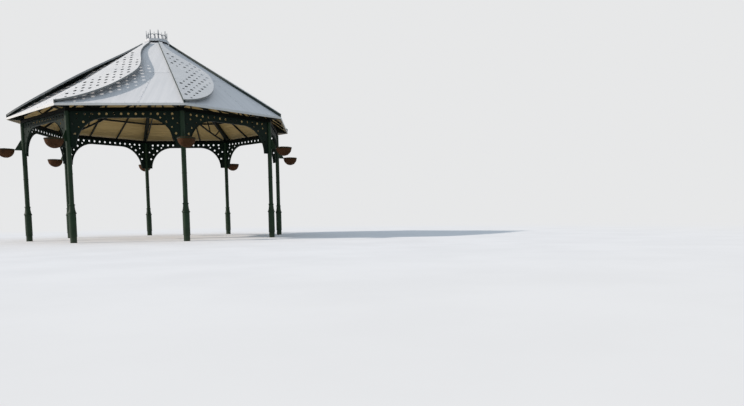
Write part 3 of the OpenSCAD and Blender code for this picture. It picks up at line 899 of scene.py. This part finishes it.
def wire_arc(name, start, axis, centre, angle, steps):
    """A wire: a small ring of points at a place, spun round an axis."""
    clear_selection()
    stands = (math.pi / 2, 0, 0) if axis[2] else (0, 0, 0)
    bpy.ops.mesh.primitive_circle_add(vertices=WIRE_POINTS, radius=WIRE, location=start,
                                      rotation=stands)
    obj = named(name, "dull_zinc")
    settle(obj)
    edit(obj, "VERT", "SELECT")
    bpy.ops.mesh.spin(steps=steps, angle=angle, center=centre, axis=axis)
    bpy.ops.mesh.select_all(action="SELECT")
    bpy.ops.mesh.remove_doubles(threshold=WELD)
    face_outwards()
    take(obj)
    bpy.ops.object.shade_smooth()
    return obj


rib = wire_arc("rib", (CAGE, 0, 0), (0, 1, 0), (0, 0, 0), -RIB_ANGLE, steps=14)
ribs = [copied(rib, f"rib_{k}", Matrix.Rotation(k * TURN, 4, "Z")) for k in range(SIDES)]
bpy.data.objects.remove(rib)
levels = []
for k, down in enumerate(LEVEL_ANGLES):
    ring_r = CAGE * math.cos(down)
    ring_z = -CAGE * math.sin(down)
    levels.append(wire_arc(f"level_{k}", (ring_r, 0, ring_z), (0, 0, 1), (0, 0, ring_z),
                           2 * math.pi, steps=40))
cage = joined(ribs + levels, "cage")
print("cage faces", len(cage.data.polygons))

# %% [markdown]
# Every post carries one basket. Each mat and its filling are turned a little further than the last,
# so that no two baskets show the same lumps, while the ribs of the cages stay in line.

# %% Baskets on their hoops
HOOP_Z = 2.420
BOWL_OUT = 0.430
BASKET_TURN = 1.1

for k in range(SIDES):
    hip = -math.pi / 2 - HALF + k * TURN
    at = Matrix.Rotation(hip, 4, "Z") @ Matrix.Translation((POST_RING + BOWL_OUT, 0, HOOP_Z))
    twist = at @ Matrix.Rotation(BASKET_TURN * k, 4, "Z")
    lining = copied(liner, f"basket_liner_{k + 1}", twist)
    filling = copied(compost, f"basket_compost_{k + 1}", twist)
    wires = copied(cage, f"basket_cage_{k + 1}", at)
    for piece in (lining, filling):
        attach(piece)
    attach(wires)
    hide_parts("planter_bowls")
for source in (liner, compost, cage):
    bpy.data.objects.remove(source)
print("baskets", SIDES)

# %% [markdown]
# ## Frieze fixings
# Each frieze is bolted to lugs beside its posts and to the beam above. Small domed nuts on both faces
# show where. They are the screw's head again, a little larger, turned to face out of the plate.

# %% Frieze nuts
PLATE_HALF = 0.004
POST_R = 0.0572
NUT_IN = 0.022
LEG_NUTS_Z = (2.33, 2.60, 2.87)
TOP_NUTS_Z = 3.104
TOP_NUTS_IN = 0.12

# The nuts take the friezes' darker green, with its painted shade.
nut = dome_screw(radius=0.011, high=0.010, finish="frieze_green_with_painted_shade")
leg_x = POST_RING * math.sin(HALF) - POST_R - NUT_IN
top_row = along(-leg_x + TOP_NUTS_IN, leg_x - TOP_NUTS_IN, step=0.42)
spots = [(side * leg_x, z) for side in (-1, 1) for z in LEG_NUTS_Z]
spots += [(x, TOP_NUTS_Z) for x in top_row]
faces = []
for x, z in spots:
    for outward in (-1, 1):
        turned = Matrix.Rotation(math.pi / 2 * -outward, 4, "X")
        at = Matrix.Translation((x, -POST_RING * math.cos(HALF) + outward * PLATE_HALF, z))
        faces.append(at @ turned)
nuts = scattered(nut, faces, "frieze_nuts")
on_every_side(nuts, "frieze_nuts")
for source in (nut, screw):
    bpy.data.objects.remove(source)

# %% [markdown]
# ## Floor, backdrop and light
# The floor takes the shadow near the bandstand and fades into the pale backdrop further out, so that
# no edge shows. The camera, and what metal mirrors, see the backdrop at its own paleness, while the
# light on the object stays plain. Outside the posts the floor throws less light back up than it
# shows, which keeps the friezes and the beam dark under the eaves.

# %% Floor
BACKDROP = colour(0.80, 0.805, 0.81)
FLOOR_R = 90.0
FLOOR_Z = -0.0005
FADES = (9.0, 24.0)
DARKENS = (4.0, 5.2)


def is_shown(start):
    """1 for rays that show a surface, straight or mirrored, and 0 for the light that it throws."""
    rays = start.node("ShaderNodeLightPath", None,
                      ("Is Camera Ray", "Is Glossy Ray", "Is Transmission Ray"))
    return start.sum("MINIMUM", rays[0] + rays[1] + rays[2], 1.0)


def to_output(wire, kind):
    """Links a shader to a new output node."""
    output = wire.tree.nodes.new(kind)
    wire.tree.links.new(wire.socket, output.inputs["Surface"])


clear_selection()
bpy.ops.mesh.primitive_circle_add(vertices=96, radius=FLOOR_R, fill_type="NGON",
                                  location=(0, 0, FLOOR_Z))
floor = bpy.context.object
floor.name = "floor"
floor_paint, place = start_finish("floor")
x, y, _ = place.parts()
away = (x * x + y * y) ** 0.5
far = away.band(*FADES)
shown = is_shown(place)
mottle = place.noise(0.7, detail=4.0)
pale = mottle.band(0.3, 0.7).tint(colour(0.76, 0.76, 0.76), colour(0.80, 0.80, 0.80))
pale = (away.band(*DARKENS) * (1.0 - shown)).tint(pale, colour(0.27, 0.28, 0.25))
near_by = place.node("ShaderNodeBsdfDiffuse", Color=pale)
far_off = place.node("ShaderNodeEmission", Color=BACKDROP, Strength=1.0)
to_output(place.node("ShaderNodeMixShader", i0=far * shown, i1=near_by, i2=far_off),
          "ShaderNodeOutputMaterial")
floor.data.materials.append(floor_paint)
print("floor radius", FLOOR_R, "fades between", FADES)

# %% [markdown]
# An even cool glow from all round fills the shadows, as open air does. It is a colour of the world
# and not a ring of lamps, so it has no highlights of its own.

# %% Glow
GLOW = colour(0.85, 0.98, 1.13)
GLOW_STRENGTH = 0.575

world = bpy.data.worlds.new("glow")
bpy.context.scene.world = world
world.use_nodes = True
world.node_tree.nodes.clear()
start = Wire(world.node_tree, None)
shown = is_shown(start)
even = start.node("ShaderNodeBackground", Color=GLOW, Strength=GLOW_STRENGTH)
pale = start.node("ShaderNodeBackground", Color=BACKDROP, Strength=1.0)
to_output(start.node("ShaderNodeMixShader", i0=shown, i1=even, i2=pale), "ShaderNodeOutputWorld")
print("glow strength", GLOW_STRENGTH)

# %% [markdown]
# A low sun from the left gives the roof its bright left facets and the shadow of each wing. Its
# direction comes from that shadow. Its small disc keeps the shadow's edge crisp near the wing and
# a little softer further out.

# %% Sun
SUN_AZIMUTH = math.radians(-173.3)
SUN_HEIGHT = math.radians(27.2)

to_sun = Vector((math.cos(SUN_HEIGHT) * math.cos(SUN_AZIMUTH),
                 math.cos(SUN_HEIGHT) * math.sin(SUN_AZIMUTH), math.sin(SUN_HEIGHT)))
sun = bpy.data.lights.new("sun", "SUN")
sun.energy = 3.52
sun.angle = math.radians(1.6)
sun.color = (1.0, 0.90, 0.82)
lamp = bpy.data.objects.new("sun", sun)
lamp.rotation_euler = to_sun.to_track_quat("Z", "Y").to_euler()
bpy.context.scene.collection.objects.link(lamp)
print("light from", [round(v, 2) for v in to_sun])
